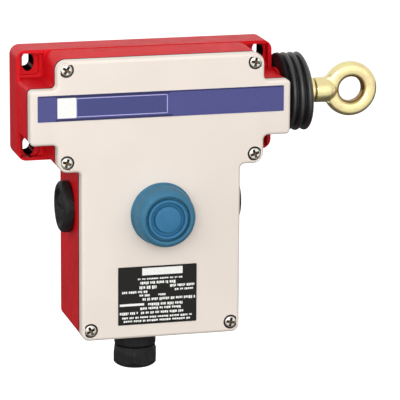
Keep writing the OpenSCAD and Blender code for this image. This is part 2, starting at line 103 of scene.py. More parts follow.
# fixed places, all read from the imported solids: the cover's ends, face and joint, and each line, as a centre and a
# direction, that round pieces are turned about
(_, FACE_Y, COVER_FOOT), (COVER_X, COVER_BACK_Y, COVER_TOP) = box("front_cover")
BUTTON, ROPE, GLAND = (box(node).mean(0) for node in ("reset_cap", "pull_rod", "gland_body"))
BUTTON_LINE = (BUTTON[0], 0, BUTTON[2]), (0, -1, 0)
ROPE_LINE = (0, ROPE[1], ROPE[2]), (1, 0, 0)
GLAND_LINE = (GLAND[0], GLAND[1], 0), (0, 0, 1)

WELL_DEPTH = 2.4  # of the cover's screw recesses
THREAD = 10.2  # radius of the thread of plugs and gland


def linear(code):
    """Linear red, green and blue of an sRGB hex colour: c / 12.92 in the toe, ((c + 0.055) / 1.055) ** 2.4 above."""
    c = np.array([int(code[i : i + 2], 16) for i in (0, 2, 4)]) / 255
    return tuple(np.where(c <= 0.04045, c / 12.92, ((c + 0.055) / 1.055) ** 2.4))


# -------- settings


def length(name, description, mm, low, high):
    """A size in millimetres, kept in metres."""
    return FloatProperty(
        name=name, description=description, default=mm * MM, min=low * MM, max=high * MM, unit="LENGTH", precision=5
    )


def colour(name, description, code):
    """A surface colour, written as an sRGB hex value."""
    return FloatVectorProperty(
        name=name, description=description, default=linear(code), size=3, min=0, max=1, subtype="COLOR"
    )


def power(name, description, watts):
    """A lamp's power."""
    return FloatProperty(name=name, description=description, default=watts, min=0, unit="POWER")


class SwitchSizes(PropertyGroup):
    """Sizes of the finished pieces."""

    tab_half: length("Tab half width", "Half the width of the raised tabs of the cover", 65.1, 60, 70)
    bar_half: length("Crossbar half height", "Half the height of the crossbar of the cover", 17.1, 15, 19)
    column_half: length("Column half width", "Half the width of the column of the cover", 50.35, 46, 54)
    cover_round: length("Cover edge radius", "Radius of the moulded edge round the cover", 2.0, 0.8, 2.4)
    casting_round: length("Casting edge radius", "Radius of the painted edges of the casting", 0.8, 0.1, 1.2)
    fold_depth: length("Bellows fold depth", "Depth of the grooves between the folds", 3.0, 1.0, 4.0)
    lean: length("Bellows lean", "How far the top of the last fold leans back", 2.0, 0.0, 3.0)
    folds: IntProperty(name="Bellows folds", description="Number of folds in the bellows", default=3, min=2, max=5)
    screw_recess: length("Screw recess depth", "Depth of the cross recess in the cover screws", 2.0, 0.5, 2.4)
    print_height: length("Print thickness", "How far a layer of print stands off the films", 0.02, 0.01, 0.1)


class SwitchColours(PropertyGroup):
    """Colours of the finishes."""

    red: colour("Casting", "Powder coat of the casting", "d40d1a")
    ivory: colour("Cover", "Paint of the cover", "efe3d8")
    film: colour("Band", "Printed film across the crossbar", "4f518a")
    film_edge: colour("Band edge", "Darker printed edge of the band", "33345c")
    film_field: colour("Band field", "Darker printed field on the band", "464a80")
    film_rule: colour("Band rule", "Pale printed rule round the field", "b9b4ea")
    label: colour("Label", "Printed film low on the column", "0e0c09")
    ink: colour("Print", "White ink of the films", "fbfaf6")
    silicone: colour("Boot", "Moulded boot of the reset button", "3e7592")
    cap: colour("Cap", "Moulded cap of the reset button", "3b789f")
    rubber: colour("Bellows", "Moulded rubber", "1a1a1c")
    nylon: colour("Plugs and gland", "Moulded black nylon", "1f1f20")
    zinc: colour("Eye", "Yellow passivated zinc", "ecdfa4")


class SwitchStage(PropertyGroup):
    """Light and floor."""

    key: power("Key light", "Power of the front softbox beside the camera", 4.2)
    fill: power("Fill light", "Power of the wide front softbox", 7.0)
    side: power("Side light", "Power of the softbox on the left", 3.2)
    top: power("Top light", "Power of the softbox overhead", 0.3)
    ambient: FloatProperty(name="Ambient", description="Brightness of the studio on the object", default=0.74, min=0)
    drop: length("Floor drop", "Height of the object's lowest point above the floor", 180, 0, 500)


SETTINGS = {"switch_sizes": SwitchSizes, "switch_colours": SwitchColours, "switch_stage": SwitchStage}


def size(name):
    """One of the sizes, in millimetres."""
    return getattr(bpy.context.scene.switch_sizes, name) / MM


def tone(name):
    """One of the colours."""
    return getattr(bpy.context.scene.switch_colours, name)


# -------- surfaces


def skin(rings, closed=False):
    """Rings of points as a surface: point j of ring i has number i * n + j, each ring closes on itself, and a closed
    surface joins its last ring to its first."""
    rings = np.asarray(rings)
    rows, n = rings.shape[:2]
    i, j = np.meshgrid(np.arange(rows if closed else rows - 1), np.arange(n), indexing="ij")
    near, far, right = i * n, (i + 1) % rows * n, (j + 1) % n
    faces = np.stack([near + j, far + j, far + right, near + right], -1).reshape(-1, 4)
    return rings.reshape(-1, 3), faces.tolist()


def softened(points, steps=6):
    """A polyline of (a, b, s) with each corner P drawn as a parabola from A, s before it on one line, to B, s after it
    on the next: (1 - t)^2 A + 2 t (1 - t) P + t^2 B. A corner with s = 0 stays sharp."""
    xy = np.array([p[:2] for p in points], float)
    t = np.linspace(0, 1, steps + 1)[:, None]
    out = [xy[:1]]
    for before, here, after, s in zip(xy, xy[1:], xy[2:], [p[2] for p in points[1:-1]]):
        if s <= 0:
            out.append(here[None])
            continue
        a = here + (before - here) * min(s / np.linalg.norm(before - here), 0.5)
        b = here + (after - here) * min(s / np.linalg.norm(after - here), 0.5)
        out.append((1 - t) ** 2 * a + 2 * t * (1 - t) * here + t**2 * b)
    return np.concatenate(out + [xy[-1:]])


def around(steps):
    """Angles all the way round."""
    return np.linspace(0, 2 * np.pi, steps, endpoint=False)


def spokes(axis, angles):
    """The axis w, and the spokes cos t * u + sin t * v about it at the angles t."""
    w = np.array(Vector(axis).normalized())
    u = np.array(Vector(axis).orthogonal().normalized())
    v = np.cross(w, u)
    return w, np.cos(angles)[:, None] * u + np.sin(angles)[:, None] * v


def turned(profile, line, steps=128):
    """A profile of (radius r, distance h) carried round a line: centre + h * axis + r * spoke."""
    centre, axis = line
    axis, spoke = spokes(axis, around(steps))
    return skin(np.array(centre) + profile[:, 1, None, None] * axis + profile[:, 0, None, None] * spoke)


def coil(line, radius, wire, start, end, turns, steps=40, sides=12):
    """Round wire on a helix: the path is radius * spoke at height h, where a closed turn at each end climbs one wire
    and the turns between share the rest; the wire's circle stands in the plane of the axis and the spoke."""
    centre, axis = line
    a = np.linspace(0, turns, int(turns * steps) + 1)
    low, high = start + wire / 2, end - wire / 2
    h = np.interp(a, [0, 1, turns - 1, turns], [low, low + wire * 1.05, high - wire * 1.05, high])
    axis, spoke = spokes(axis, 2 * np.pi * a)
    b = around(sides)
    across = spoke[:, None] * (radius + wire / 2 * np.cos(b))[None, :, None]
    points, faces = skin(np.array(centre) + across + (h[:, None] + wire / 2 * np.sin(b))[:, :, None] * axis)
    return points, faces + [list(range(sides)), list(range(len(points) - sides, len(points)))]


def joined(*shapes):
    """Several (points, faces) as one."""
    points, faces, n = [], [], 0
    for p, f in shapes:
        points.append(p)
        faces += [[k + n for k in face] for face in f]
        n += len(p)
    return np.concatenate(points), faces


def linked(name, data):
    """A new object in the scene."""
    obj = bpy.data.objects.new(name, data)
    bpy.context.scene.collection.objects.link(obj)
    return obj


def weld(mesh, gap, flat=0.0, outwards=False):
    """Merges points within a gap in millimetres, joins faces level to flat degrees and turns faces outwards."""
    bm = bmesh.new()
    bm.from_mesh(mesh)
    bmesh.ops.remove_doubles(bm, verts=bm.verts, dist=gap * MM)
    if flat:
        bmesh.ops.dissolve_limit(bm, angle_limit=math.radians(flat), verts=bm.verts, edges=bm.edges)
    if outwards:
        bmesh.ops.recalc_face_normals(bm, faces=bm.faces)
    bm.to_mesh(mesh)
    bm.free()


def piece(name, shape, material, body, replaced=(), smooth=38.0):
    """A closed mesh object at the origin, welded, with outward faces and smooth up to an angle; it rides on its body,
    or on none when it is bent between two."""
    points, faces = shape
    mesh = bpy.data.meshes.new(name)
    mesh.from_pydata((points * MM).tolist(), [], faces)
    weld(mesh, 0.002, outwards=True)
    return finish_piece(linked(name, mesh), material, body, replaced, smooth)


def finish_piece(obj, material, body, replaced=(), smooth=38.0):
    """Smooth shading up to an angle, the material, the body that carries a piece and the nodes that it stands for."""
    mesh = obj.data
    mesh.polygons.foreach_set("use_smooth", [True] * len(mesh.polygons))
    mesh.set_sharp_from_angle(angle=math.radians(smooth))
    paint(obj, material)
    if body:
        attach(obj, body)
    if replaced:
        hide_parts(*replaced)
    return obj


def paint(obj, material):
    """Gives an object one material in place of those it has."""
    obj.data.materials.clear()
    obj.data.materials.append(material)


def welded_copy(node, name, flat=1.0):
    """A copy of a CAD node, its loose triangles welded and its faces that are level to flat degrees joined."""
    mesh = frame["nodes"][node].data.copy()
    weld(mesh, 0.005, flat)
    return linked(name, mesh)


def modifier(obj, kind, **settings):
    """A modifier with its settings."""
    made = obj.modifiers.new(kind.lower(), kind)
    for key, value in settings.items():
        setattr(made, key, value)


def apply_modifiers(obj):
    """Keeps what an object's modifiers make of its mesh, and drops the modifiers."""
    bpy.context.view_layer.update()
    made = bpy.data.meshes.new_from_object(obj.evaluated_get(bpy.context.evaluated_depsgraph_get()))
    obj.modifiers.clear()
    obj.data = made
    return obj


# -------- materials


FADE_OUT = {"To Min": 1.0, "To Max": 0.0}


def add(tree, kind, inputs=None, **settings):
    """One shader node, of a new kind or there already: settings are its properties, and inputs gives each socket a
    value or what to link from, a socket or a node's first one."""
    node = tree.nodes.new("ShaderNode" + kind) if isinstance(kind, str) else kind
    for key, value in settings.items():
        setattr(node, key, value)
    for key, value in (inputs or {}).items():
        if isinstance(value, bpy.types.Node):
            value = value.outputs[0]
        if isinstance(value, bpy.types.NodeSocket):
            tree.links.new(value, node.inputs[key])
        else:
            node.inputs[key].default_value = value
    return node


def rgba(c, scale=1.0):
    """A colour, linear or a hex code, with its alpha, lighter or darker by scale."""
    return (*(min(v * scale, 1.0) for v in (linear(c) if isinstance(c, str) else c)), 1.0)


def mottled(name, tones, clouds, band=(0.35, 0.65), sheen=None, bumps=(), pattern="TexNoise", **constants):
    """A finish that is never quite even, on object coordinates. The base colour goes from one tone to the other as the
    pattern, with lumps of clouds = (mm across, detail), crosses its band. The roughness goes from low to high as that
    of sheen = (mm across, low, high) goes from 0.3 to 0.7. Each bump (mm across, detail, mm deep) is laid on top."""
    material = bpy.data.materials.new(name)
    material.use_nodes = True
    tree = material.node_tree
    shader = tree.nodes["Principled BSDF"]
    place = add(tree, "TexCoord").outputs["Object"]
    lumps = [clouds] + [b[:2] for b in bumps] + ([(sheen[0], 3.0)] if sheen else [])
    layers = [
        add(tree, pattern, {"Vector": place, "Scale": 1 / (mm * MM), "Detail": detail, "Roughness": 0.55})
        for mm, detail in lumps
    ]
    ramp = add(tree, "ValToRGB", {"Fac": layers[0]})
    for stop, position, shade in zip(ramp.color_ramp.elements, band, tones):
        stop.position, stop.color = position, shade
    inputs = {"Base Color": ramp, **{key.replace("_", " "): value for key, value in constants.items()}}
    if sheen:
        rough = {"Value": layers[-1], "From Min": 0.3, "From Max": 0.7, "To Min": sheen[1], "To Max": sheen[2]}
        inputs["Roughness"] = add(tree, "MapRange", rough)
    normal = {}
    for layer, (_, _, mm) in zip(layers[1:], bumps):
        normal = {"Normal": add(tree, "Bump", {"Height": layer, "Distance": mm * MM, **normal})}
    add(tree, shader, {**inputs, **normal})
    return material


def opened(material):
    """The tree, shader, object coordinates and base colour of a mottled finish, to work on further."""
    tree = material.node_tree
    shader = tree.nodes["Principled BSDF"]
    place = tree.nodes["Texture Coordinate"].outputs["Object"]
    return tree, shader, place, shader.inputs["Base Color"].links[0].from_socket


def spread(tree, place, centre, reach):
    """How far a place is from a centre (x, z) seen from the front, as a multiple of its reach (x, z) there:
    |(place - centre) / reach|."""
    offset = add(tree, "VectorMath", {0: place, 1: metres(centre[0], 0, centre[1])}, operation="SUBTRACT")
    share = (1 / (reach[0] * MM), 0, 1 / (reach[1] * MM))
    share = add(tree, "VectorMath", {0: offset, 1: share}, operation="MULTIPLY")
    return add(tree, "VectorMath", {0: share}, operation="LENGTH").outputs["Value"]


def powder_coat(name, c, slot, reach, joint):
    """Polyester powder coat, baked on a die casting: satin, with a faint orange peel 1.6 mm across that breaks up the
    reflections, and barely uneven colour. The walls of the four slots, centred on (x, z) = slot to either side of the
    middle and reach in half width and half height, and a lip 2.6 mm deep at the cover's joint carry painted shade: a
    dark red-black with no shine, for the shade inside the slots and in the gap under the cover."""
    material = mottled(
        name, (rgba(c, 0.93), rgba(c, 1.05)), (26, 3.0), sheen=(7, 0.4, 0.5),
        bumps=((1.6, 1.0, 0.028), (14, 2.0, 0.06)), IOR=1.5,
    )
    tree, shader, place, coat = opened(material)
    folded = add(tree, "VectorMath", {0: place}, operation="ABSOLUTE")
    hole = {"Value": spread(tree, folded, slot, reach), "From Min": 1.08, "From Max": 1.16, **FADE_OUT}
    deep = add(tree, "SeparateXYZ", {0: place}).outputs["Y"]
    lip = {"Value": deep, "From Min": (joint + 2.5) * MM, "From Max": (joint + 2.7) * MM, **FADE_OUT}
    hole, lip = (add(tree, "MapRange", inputs) for inputs in (hole, lip))
    # painted shade: the slot walls and the joint lip are mixed towards dark red-black and lose their shine
    bare = add(tree, "Math", {0: hole, 1: lip}, operation="MAXIMUM")
    mixed = add(tree, "Mix", {0: bare, 6: coat, 7: rgba("1b0b0c")}, data_type="RGBA")
    shade_specular = add(tree, "MapRange", {"Value": bare, "To Min": 0.16, "To Max": 0.0})
    add(tree, shader, {"Base Color": mixed.outputs[2], "Specular IOR Level": shade_specular})
    return material


def stove_enamel(name, c):
    """Sprayed stove enamel on the flat cover: smoother than the casting, a very soft peel and slight warm clouding."""
    return mottled(
        name, (rgba(c, 0.975), rgba(c, 1.01)), (45, 2.0), sheen=(9, 0.4, 0.52),
        bumps=((1.1, 1.0, 0.012), (30, 1.0, 0.05)), IOR=1.5, Specular_IOR_Level=0.5,
    )


def printed_film(name, c, peel=0.006):
    """Screen-printed polyester film: an even ink layer under a slightly glossy hard coat."""
    return mottled(
        name, (rgba(c, 0.94), rgba(c, 1.05)), (0.8, 2.0), bumps=((5, 1.0, peel * 4), (0.6, 1.0, peel)),
        Roughness=0.42, IOR=1.48, Specular_IOR_Level=0.25,
    )


def silicone(name, c):
    """Compression-moulded silicone: matt satin, with the fine blasted grain of its mould."""
    return mottled(
        name, (rgba(c, 0.92), rgba(c, 1.06)), (9, 2.0), sheen=(2.4, 0.48, 0.6), bumps=((0.5, 2.0, 0.012),),
        IOR=1.43, Specular_IOR_Level=0.2,
    )


def bellows_rubber(name, c, matt=-1000.0):
    """Moulded EPDM rubber: deep black with a grey satin light on its folds and a trace of bloom; matt up to that x."""
    material = mottled(
        name, (rgba(c, 0.75), rgba(c, 1.5)), (6, 4.0), (0.4, 0.75), (3.0, 0.32, 0.44), ((0.7, 2.0, 0.018),), IOR=1.52
    )
    tree, shader, place, _ = opened(material)
    along = add(tree, "SeparateXYZ", {0: place}).outputs["X"]
    shine = {"Value": along, "From Min": matt * MM, "From Max": (matt + 0.6) * MM, "To Min": 0.05, "To Max": 0.75}
    add(tree, shader, {"Specular IOR Level": add(tree, "MapRange", shine)})
    return material


def glass_filled_nylon(name, c):
    """Injection-moulded glass-filled nylon: matt charcoal black with a fine eroded grain, drawn 0.8 mm coarse."""
    return mottled(
        name, (rgba(c, 0.8), rgba(c, 1.35)), (5, 3.0), sheen=(1.6, 0.42, 0.58), bumps=((0.8, 2.0, 0.03),),
        IOR=1.53, Specular_IOR_Level=0.16,
    )


def yellow_zinc(name, c, bore, radius):
    """Forged steel, zinc plated and yellow passivated: pale straw metal with faint pink and green clouds a few
    millimetres across, over the soft dents of the forging. It turns brown with painted shade from 2.4 mm outside its
    bore, centred on (x, z) = bore, darkest within 0.4 mm of it."""
    material = mottled(
        name, (rgba("e6cfa1"), rgba(c)), (7, 3.0), (0.3, 0.55), (3.0, 0.24, 0.38),
        ((4.0, 2.0, 0.09), (0.7, 2.0, 0.012)), Metallic=1.0,
    )
    tree, shader, place, straw = opened(material)
    straw.node.color_ramp.elements.new(0.8).color = rgba("e6e3a6")
    far = spread(tree, place, bore, (radius, radius))
    # painted shade: brown round the edge of the bore
    bore_shade = {"Value": far, "From Min": 1 + 0.4 / radius, "From Max": 1 + 2.4 / radius, **FADE_OUT}
    bore_shade = add(tree, "MapRange", bore_shade)
    mixed = add(tree, "Mix", {0: bore_shade, 6: straw, 7: rgba("94733c")}, data_type="RGBA")
    add(tree, shader, {"Base Color": mixed.outputs[2]})
    return material


def plated_steel(name, c, rough):
    """Zinc-plated steel, clear passivated: bluish silver with turning marks too fine to show, drawn as fine cloud."""
    return mottled(
        name, (rgba(c, 0.8), rgba(c, 1.1)), (1.5, 3.0), sheen=(1.2, rough - 0.08, rough + 0.1),
        bumps=((0.5, 2.0, 0.008),), Metallic=1.0,
    )


def screw_steel(name, c, crown):
    """Zinc-plated steel of a sunk screw: bright on its crown, and dark with painted shade from 0.3 to 0.9 mm below it,
    in the recess and down the sides."""
    material = mottled(
        name, (rgba(c, 0.85), rgba(c, 1.1)), (1.5, 3.0), bumps=((0.5, 2.0, 0.008),), Metallic=1.0, Roughness=0.34
    )
    tree, shader, place, metal = opened(material)
    depth = add(tree, "SeparateXYZ", {0: place}).outputs["Y"]
    # painted shade: darker from just below the crown, in the cross recess and down the sides of the head
    recess_shade = {"Value": depth, "From Min": (crown + 0.3) * MM, "From Max": (crown + 0.9) * MM}
    recess_shade = add(tree, "MapRange", recess_shade)
    mixed = add(tree, "Mix", {0: recess_shade, 6: metal, 7: rgba("463a2e")}, data_type="RGBA")
    add(tree, shader, {"Base Color": mixed.outputs[2]})
    return material


def drawn_wire(name, c):
    """Oiled drawn spring wire: dark steel with draw marks a fifth of a millimetre apart."""
    return mottled(
        name, (rgba(c, 0.7), rgba(c, 1.15)), (2.0, 4.0), bumps=((0.2, 2.0, 0.01),), Metallic=1.0, Roughness=0.3
    )


def bearing_bronze(name, c):
    """Sintered bronze: warm metal with the open pores, 0.3 mm, that hold its oil."""
    return mottled(
        name, (rgba(c, 0.5), rgba(c)), (0.3, 0.0), (0.1, 0.4), bumps=((0.3, 0.0, 0.03),),
        pattern="TexVoronoi", Metallic=1.0, Roughness=0.38,
    )


def engineering_plastic(name, c, rough):
    """Moulded phenolic or acetal: even colour, with the fine grain of its mould."""
    return mottled(
        name, (rgba(c, 0.88), rgba(c, 1.08)), (4, 3.0), bumps=((0.6, 2.0, 0.012),), Roughness=rough, IOR=1.5
    )


_made = {}


def finish(name, make, *values):
    """The material of that name, made once."""
    if name not in _made:
        _made[name] = make(name, *values)
    return _made[name]


def black_nylon():
    """The moulding of plugs and gland."""
    return finish("glass filled nylon black", glass_filled_nylon, tone("nylon"))


def black_rubber():
    """The moulding of seals."""
    return finish("moulded rubber black", bellows_rubber, tone("rubber"))


# -------- pieces


class SWITCH_OT_casting(Operator):
    """Casting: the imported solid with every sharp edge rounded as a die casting's is, under red powder coat"""

    bl_idname = "switch.casting"
    bl_label = "Casting"

    def execute(self, context):
        casting = welded_copy("housing", "casting")
        modifier(
            casting, "BEVEL", width=size("casting_round") * MM, segments=3, limit_method="ANGLE",
            angle_limit=math.radians(34), miter_outer="MITER_ARC", harden_normals=True,
        )
        place, dims = mount("wall_slots_right")
        slot = (place[0], dims["spacing_y_mm"] / 2)
        reach = (dims["hole_r_mm"], dims["slot_length_mm"] / 2)
        coat = finish("powder coat red", powder_coat, tone("red"), slot, reach, COVER_BACK_Y)
        finish_piece(casting, coat, "switch_body", ["housing"], 60)
        return {"FINISHED"}


def cover_outline(inset, steps=12):
    """The T outline drawn in by inset, as (x, z) rows. Each corner is an arc about a fixed centre, whose radius shrinks
    by inset outside and grows by it inside: centre + radius * (cos t, sin t)."""
    tab, bar, column = size("tab_half"), size("bar_half"), size("column_half")
    # down the left side: x, z, radius, and 1 for an outside corner or -1 for an inside one
    corners = [
        (-tab, COVER_TOP, 6.5, 1), (-tab, bar, 3, -1), (-COVER_X, bar, 2.8, 1), (-COVER_X, -bar, 2.8, 1),
        (-tab, -bar, 3, -1), (-tab, -COVER_TOP, 6.5, 1), (-column, -COVER_TOP, 3, -1), (-column, COVER_FOOT, 5, 1),
    ]
    corners += [(-x, z, r, side) for x, z, r, side in reversed(corners)]
    spots, (radius, side) = np.array(corners)[:, :2], np.array(corners)[:, 2:].T
    ways = [np.roll(spots, k, 0) - spots for k in (1, -1)]
    back, ahead = (way / np.linalg.norm(way, axis=1, keepdims=True) for way in ways)
    centre = spots + radius[:, None] * (back + ahead)
    t = np.linspace(0, np.pi / 2, steps)[None, :, None]
    spoke = ahead[:, None] * np.cos(t) + back[:, None] * np.sin(t)
    return (centre[:, None] - (radius - side * inset)[:, None, None] * spoke).reshape(-1, 2)


def circle(x, z, r, steps=48):
    """Points of a circle in the plane of the cover: (x + r cos t, z + r sin t)."""
    t = around(steps)
    return np.stack([x + r * np.cos(t), z + r * np.sin(t)], 1)


def at_depth(outline, y):
    """Points (x, z) set at depth y."""
    return np.insert(outline, 1, y, axis=1)


def level_face(outline, holes, y):
    """A level face at depth y inside an outline with round holes (x, z, r), as triangles between the edge points."""
    loops = [outline] + [circle(*h) for h in holes]
    starts = np.cumsum([0] + [len(q) for q in loops])
    edges = [(int(a + k), int(a + (k + 1) % (b - a))) for a, b in zip(starts, starts[1:]) for k in range(b - a)]
    points = [Vector(p) for p in np.concatenate(loops)]
    flat, _, faces, _, _, _ = delaunay_2d_cdt(points, edges, [], 1, 1e-4)
    flat = np.array(flat)
    middles = np.array([flat[list(f)].mean(0) for f in faces])
    keep = np.ones(len(faces), bool)
    for x, z, r in holes:
        keep &= np.hypot(middles[:, 0] - x, middles[:, 1] - z) > r * 0.999
    return at_depth(flat, y), [list(f) for f, k in zip(faces, keep) if k]


def screw_spots():
    """Centres (x, z) of the cover screws: the middle of each screw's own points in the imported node."""
    node = frame["nodes"]["cover_screws"]
    xyz = np.empty(len(node.data.vertices) * 3)
    node.data.vertices.foreach_get("co", xyz)
    xz = xyz.reshape(-1, 3)[:, [0, 2]] / MM
    side = xz[:, 0] > 0
    level = np.digitize(xz[:, 1], [-80, 0])
    groups = [xz[(side == s) & (level == k)] for k in (2, 1, 0) for s in (False, True)]
    return [((g.min(0) + g.max(0)) / 2).tolist() for g in groups]


class SWITCH_OT_cover(Operator):
    """Cover: a rounded edge carried round the T outline, a level face and six stepped screw recesses"""

    bl_idname = "switch.cover"
    bl_label = "Front cover"

    def execute(self, context):
        r = size("cover_round")
        turn = np.linspace(0, np.pi / 2, 9)
        # edge: straight up from the joint, then a quarter circle of radius r into the face
        edge = [(0.0, COVER_BACK_Y)] + [(r * (1 - math.cos(a)), FACE_Y + r * (1 - math.sin(a))) for a in turn]
        rows = [cover_outline(inset) for inset, _ in edge]
        lip, head, shank, floor = 0.35, 4.55, 2.2, FACE_Y + WELL_DEPTH
        spots = screw_spots()
        bore = (BUTTON[0], BUTTON[2], 11.2)
        shapes = [skin([at_depth(row, y) for row, (_, y) in zip(rows, edge)])]
        shapes.append(level_face(rows[-1], [(x, z, head + lip) for x, z in spots] + [bore], FACE_Y))
        shapes.append(level_face(rows[0], [(x, z, shank) for x, z in spots] + [bore], COVER_BACK_Y))
        well = softened([(head + lip, FACE_Y, 0), (head, FACE_Y, lip), (head, floor, 0.3), (shank, floor, 0)])
        well = np.vstack([well, [[shank, COVER_BACK_Y]]])
        walls = [(x, z, well) for x, z in spots] + [(*bore[:2], [(bore[2], FACE_Y), (bore[2], COVER_BACK_Y)])]
        # a hole's wall has the same circle points as the level faces
        shapes += [skin([at_depth(circle(x, z, r), y) for r, y in profile]) for x, z, profile in walls]
        enamel = finish("stove enamel ivory", stove_enamel, tone("ivory"))
        piece("painted_cover", joined(*shapes), enamel, "switch_body", ["front_cover"], 30)
        return {"FINISHED"}


def cross_recess(x, z, width, reach, depth):
    """Depth of a cross recess at (x, z): full inside either arm, eased over its edges, shallower outwards."""

    def inside(v, limit, ease=0.1):
        return np.clip((limit - np.abs(v)) / ease + 0.5, 0, 1)

    arms = np.maximum(inside(x, width) * inside(z, reach), inside(z, width) * inside(x, reach))
    return arms * depth * (1 - 0.45 * np.clip(np.hypot(x, z) / reach, 0, 1))


class SWITCH_OT_screws(Operator):
    """Cover screws: pan heads whose top is a height field with a cross recess, each turned to its own angle"""

    bl_idname = "switch.screws"
    bl_label = "Cover screws"

    def execute(self, context):
        seat, face = FACE_Y + WELL_DEPTH, -FACE_Y
        top, tail = box("cover_screws")[:, 1]
        spots = screw_spots()
        angles = np.random.default_rng(7).uniform(0, np.pi / 2, 6)
        screws = [self.screw(x, z, a, 4.0, seat, top, tail) for (x, z), a in zip(spots, angles)]
        steel = finish("zinc plated sunk screw", screw_steel, "d6d3ca", top)
        piece("pan_head_screws", joined(*screws), steel, "switch_body", ["cover_screws"], 50)
        # painted shade: dark rubber rings line the gap round each screw head up to 0.7 mm below the face, for the shade
        # in that gap
        inner, outer = 4.06, 4.5
        collar = softened(
            [(inner, -seat, 0), (outer, -seat, 0), (outer, face - 0.7, 0.1), (4.3, face - 0.5, 0.1),
             (inner, face - 0.7, 0.1), (inner, -seat, 0)], 4
        )
        seals = [turned(collar, ((x, 0, z), BUTTON_LINE[1]), 64) for x, z in spots]
        piece("screw_shade_rings", joined(*seals), black_rubber(), "switch_body")
        return {"FINISHED"}

    def screw(self, x, z, angle, radius, seat, top, tail):
        """Rings of points from the middle of the head out, down its side, under it and along the shank. On the head the
        height is (seat - top) * (0.35 + 0.65 * (1 - (r / R)^5)^0.5), less the cross recess."""
        steps = 96
        t = around(steps)
        r = np.concatenate([np.linspace(0, 0.72, 22), [0.8, 0.87, 0.93, 0.97, 0.99, 1.0]]) * radius
        px, pz = r[:, None] * np.cos(t), r[:, None] * np.sin(t)
        dome = np.sqrt(np.clip(1 - (r / radius) ** 5, 0, 1))[:, None]
        cx, cz = px * math.cos(angle) + pz * math.sin(angle), pz * math.cos(angle) - px * math.sin(angle)
        y = seat - (seat - top) * (0.35 + 0.65 * dome) + cross_recess(cx, cz, 0.7, 2.7, size("screw_recess"))
        head = np.stack([x + px, np.broadcast_to(y, px.shape), z + pz], -1)
        below = [(radius, seat), (2, seat), (2, tail), (0, tail)]
        return skin(np.concatenate([head, [at_depth(circle(x, z, q, steps), d) for q, d in below]]))


def plates(boxes, y, thickness):
    """Thin upright blocks (x0, z0, x1, z1) that stand thickness off the depth y, as one mesh."""
    b = np.array(boxes, float)
    xs, zs = b[:, [0, 2, 2, 0]], b[:, [1, 1, 3, 3]]
    points = np.concatenate([np.stack([xs, np.full_like(xs, d), zs], -1) for d in (y, y - thickness)], 1)
    one = np.array([[0, 1, 2, 3], [7, 6, 5, 4], [0, 4, 5, 1], [1, 5, 6, 2], [2, 6, 7, 3], [3, 7, 4, 0]])
    return points.reshape(-1, 3), (one[None] + 8 * np.arange(len(b))[:, None, None]).reshape(-1, 4).tolist()


def ruled_frame(x0, z0, x1, z1, line):
    """The four strips of a rectangle's printed frame."""
    return [(x0, z0, x1, z0 + line), (x0, z1 - line, x1, z1), (x0, z0, x0 + line, z1), (x1 - line, z0, x1, z1)]


class SWITCH_OT_films(Operator):
    """Printed films: the band with darker edges, a bare white block and a ruled field, and the label with plain bars"""

    bl_idname = "switch.films"
    bl_label = "Printed films"

    def execute(self, context):
        for node, name, c in (("blue_band", "blue", "film"), ("rating_label", "black", "label")):
            paint(frame["nodes"][node], finish("printed film " + name, printed_film, tone(c)))
        (x0, y, z0), (x1, _, z1) = box("blue_band")
        left, right, foot, top = x0 + 23.8, x0 + 81, z0 + 2.2, z1 - 2.0
        edges = [
            (x0 + 0.6, z1 - 0.9, x1 - 0.6, z1 - 0.1), (x0 + 11, z1 - 1.7, right + 1.5, z1 - 0.8),
            (x0 + 11, z0 + 0.1, right + 3, z0 + 1.5),
        ]
        rule, block = ruled_frame(left, foot, right, top, 0.5), [(x0 + 12.2, foot - 0.3, left, top + 0.3)]
        label_y = box("rating_label")[0][1]
        # name, blocks, depth, layers of print, ink, its colour, slot
        prints = (
            ("band_edges", edges, y, 1, "dark ink", "film_edge", "band_film"),
            ("band_field", [(left, foot, right, top)], y, 1, "field ink", "film_field", "band_film"),
            ("band_rule", rule, y, 2, "pale ink", "film_rule", "band_film"),
            ("band_block", block, y, 3, "white ink", "ink", "band_film"),
            ("label_print", self.marks(), label_y, 2, "white ink", "ink", "label_film"),
        )
        for name, blocks, depth, layers, ink, c, slot in prints:
            ink = finish(ink, printed_film, tone(c), 0.002)
            piece(name, plates(blocks, depth, layers * size("print_height")), ink, "switch_body")
        return {"FINISHED"}

    def marks(self):
        """Rows of small plain marks on the label, (height down it, row height, left and right ends) as shares of its
        size: each mark is 0.5 to 1.3 mm wide, and they stand in short runs. A bare block comes first, then a rule."""
        (x0, _, z0), (x1, _, z1) = box("rating_label")
        wide, tall = x1 - x0, z1 - z0
        rows = [
            (0.205, 0.03, 0.25, 0.84), (0.265, 0.055, 0.28, 0.73), (0.34, 0.06, 0.27, 0.5), (0.335, 0.05, 0.66, 0.97),
            (0.41, 0.035, 0.72, 0.96), (0.42, 0.045, 0.05, 0.37), (0.485, 0.04, 0.27, 0.42),
            (0.485, 0.035, 0.51, 0.61), (0.55, 0.05, 0.31, 0.98), (0.64, 0.05, 0.38, 0.82), (0.71, 0.045, 0.28, 0.82),
            (0.78, 0.05, 0.02, 0.25), (0.785, 0.045, 0.29, 0.83), (0.865, 0.035, 0.05, 0.94),
            (0.925, 0.035, 0.07, 0.93),
        ]
        out = [(x0 + 0.305 * wide, z1 - 0.155 * tall, x0 + 0.82 * wide, z1 - 0.03 * tall)]
        out.append((x0 + 0.02 * wide, z1 - 0.675 * tall, x0 + 0.33 * wide, z1 - 0.635 * tall))
        rng = np.random.default_rng(11)
        for down, height, left, right in rows:
            top, a, end = z1 - down * tall, x0 + left * wide, x0 + right * wide
            run = rng.integers(2, 7)
            while a < end - 0.5:
                b = min(a + rng.uniform(0.5, 1.3), end)
                out.append((a, top - rng.uniform(0.7, 1.0) * height * tall, b, top))
                run -= 1
                a = b + (0.25 if run else 1.0)
                run = run or rng.integers(2, 7)
        return out


